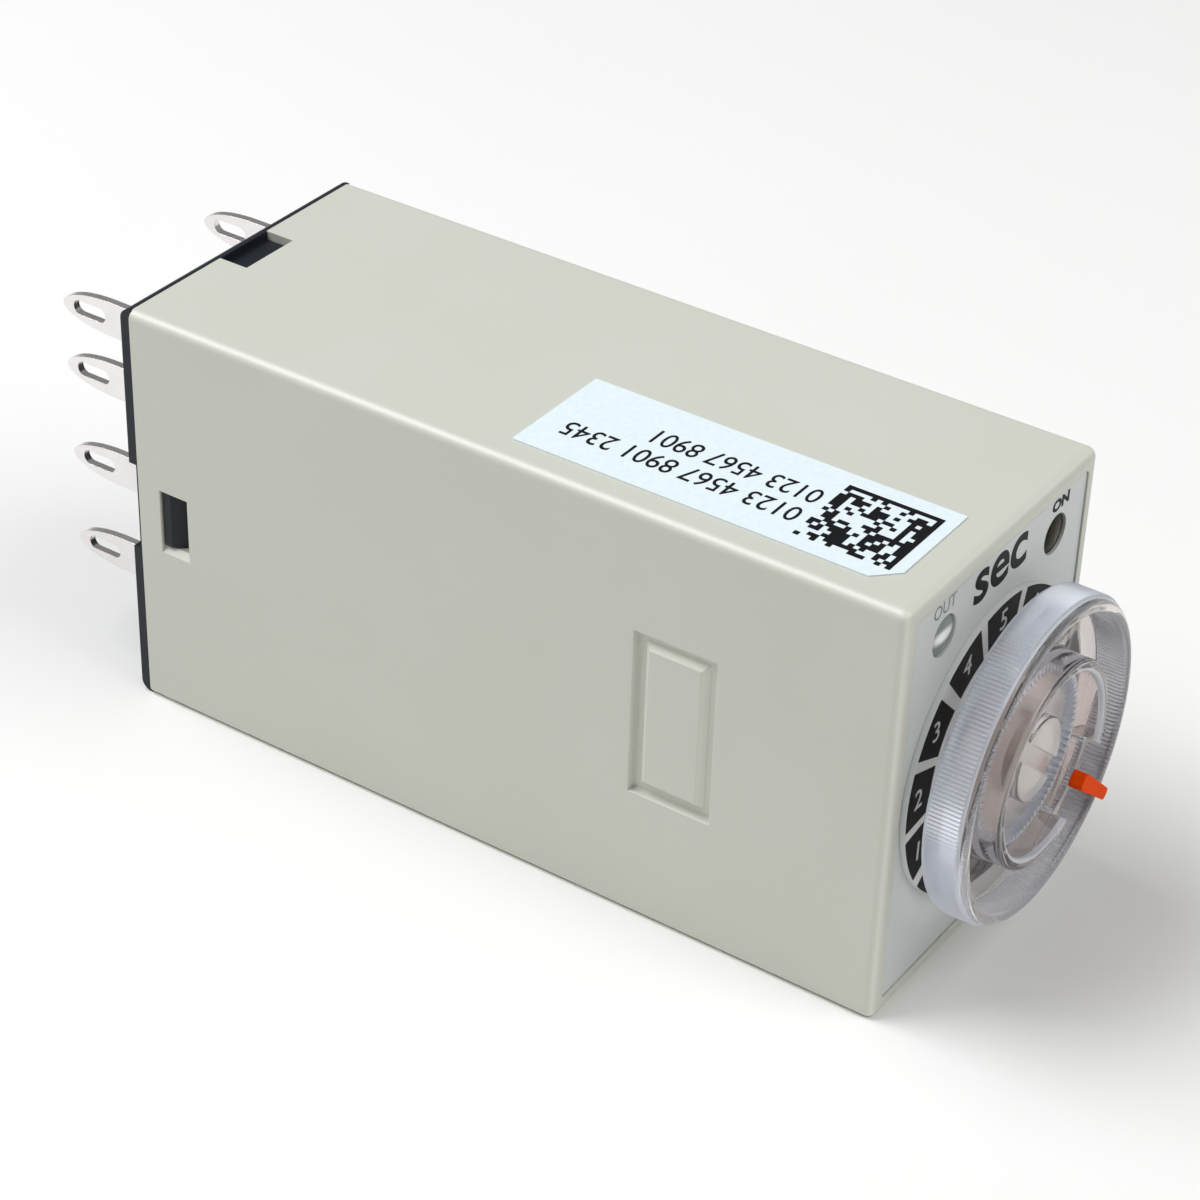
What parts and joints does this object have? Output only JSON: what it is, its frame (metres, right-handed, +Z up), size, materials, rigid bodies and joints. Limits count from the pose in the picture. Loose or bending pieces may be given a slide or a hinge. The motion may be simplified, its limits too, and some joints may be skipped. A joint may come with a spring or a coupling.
{
  "type": "timer relay",
  "caption": "Plug-in analogue timer relay: boxy moulded case on a black base with blade terminals, clear knurled setting knob with a pointer, and a hinged-armature relay inside.",
  "frame": {"origin": "centre of the base's seating face, from which the blades stand out", "axes": "+X from the seating face to the dial, +Z up to the long narrow side with the label, +Y to the right as seen facing the dial"},
  "size_m": [0.0672, 0.0216, 0.0281],
  "materials": {
    "case_plastic": "moulded, satin, light grey-beige",
    "base_plastic": "moulded, semi-gloss, black",
    "nameplate_film": "printed sheet, satin grey",
    "dial_print": "printed disc, satin",
    "label_paper": "coated paper, white",
    "knob_clear": "clear moulded acrylic, polished",
    "pointer_plastic": "moulded, orange-red",
    "terminal_tin": "tinned brass, bright",
    "magnet_iron": "soft iron, zinc plated",
    "bobbin_plastic": "moulded nylon, ivory",
    "copper_winding": "enamelled copper wire",
    "carrier_plastic": "moulded, dark grey",
    "spring_bronze": "phosphor bronze strip",
    "contact_silver": "silver alloy",
    "lead_copper": "flexible copper strand",
    "board_laminate": "glass-epoxy laminate, green",
    "pot_plastic": "moulded, dark blue",
    "shaft_plastic": "moulded acetal, natural white",
    "track_carbon": "carbon film on laminate",
    "lamp_clear": "clear epoxy lens",
    "lamp_dark": "tinted epoxy lens",
    "chip_plastic": "moulded epoxy, black",
    "can_aluminium": "sleeved aluminium can",
    "film_resin": "cast resin, ochre",
    "absorber_coat": "dipped coating, blue",
    "resistor_enamel": "enamel coat, tan"
  },
  "bodies": {
    "housing": {"case": "case_plastic", "base": "base_plastic", "nameplate": "nameplate_film", "dial_plate": "dial_print", "label": "label_paper", "potentiometer_case": "pot_plastic", "potentiometer_track": "track_carbon", "yoke": "magnet_iron", "core": "magnet_iron", "bobbin": "bobbin_plastic", "winding": "copper_winding", "hinge_spring": "spring_bronze", "front_board": "board_laminate", "output_lamp": "lamp_clear", "power_lamp": "lamp_dark", "timer_chip": "chip_plastic", "smoothing_capacitor": "can_aluminium", "coil_transistor": "chip_plastic", "resistor_1": "resistor_enamel", "resistor_2": "resistor_enamel", "resistor_3": "resistor_enamel", "timing_board": "board_laminate", "dropper_capacitor": "film_resin", "rectifier": "chip_plastic", "surge_absorber": "absorber_coat", "timing_capacitor": "film_resin", "coil_diode": "chip_plastic", "power_board": "board_laminate", "terminal_1": "terminal_tin", "terminal_4": "terminal_tin", "terminal_5": "terminal_tin", "terminal_8": "terminal_tin", "terminal_9": "terminal_tin", "terminal_12": "terminal_tin", "terminal_13": "terminal_tin", "terminal_14": "terminal_tin", "resting_contact_left": "contact_silver", "working_contact_left": "contact_silver", "common_lead_left": "lead_copper", "coil_pin_left": "contact_silver", "resting_contact_right": "contact_silver", "working_contact_right": "contact_silver", "common_lead_right": "lead_copper", "coil_pin_right": "contact_silver"},
    "dial": {"knob": "knob_clear", "pointer": "pointer_plastic", "potentiometer_shaft": "shaft_plastic", "potentiometer_wiper": "spring_bronze"},
    "armature": {"armature": "magnet_iron", "contact_carrier": "carrier_plastic", "moving_spring_left": "spring_bronze", "moving_spring_right": "spring_bronze", "moving_contact_left": "contact_silver", "moving_contact_right": "contact_silver"}
  },
  "joints": [
    {"name": "dial_turn", "type": "hinge", "parent": "housing", "child": "dial", "pos_m": [0.05595, 0, -0.0002], "axis": [1, 0, 0], "range_deg": [-9, 271]},
    {"name": "armature_swing", "type": "hinge", "parent": "housing", "child": "armature", "pos_m": [0.02618, 0, -0.012], "axis": [0, -1, 0], "range_deg": [0, 3], "stiffness_Nm_per_rad": 0.02, "springref_deg": -5.73, "deforming": ["hinge_spring", "common_lead_left", "common_lead_right"]}
  ]
}
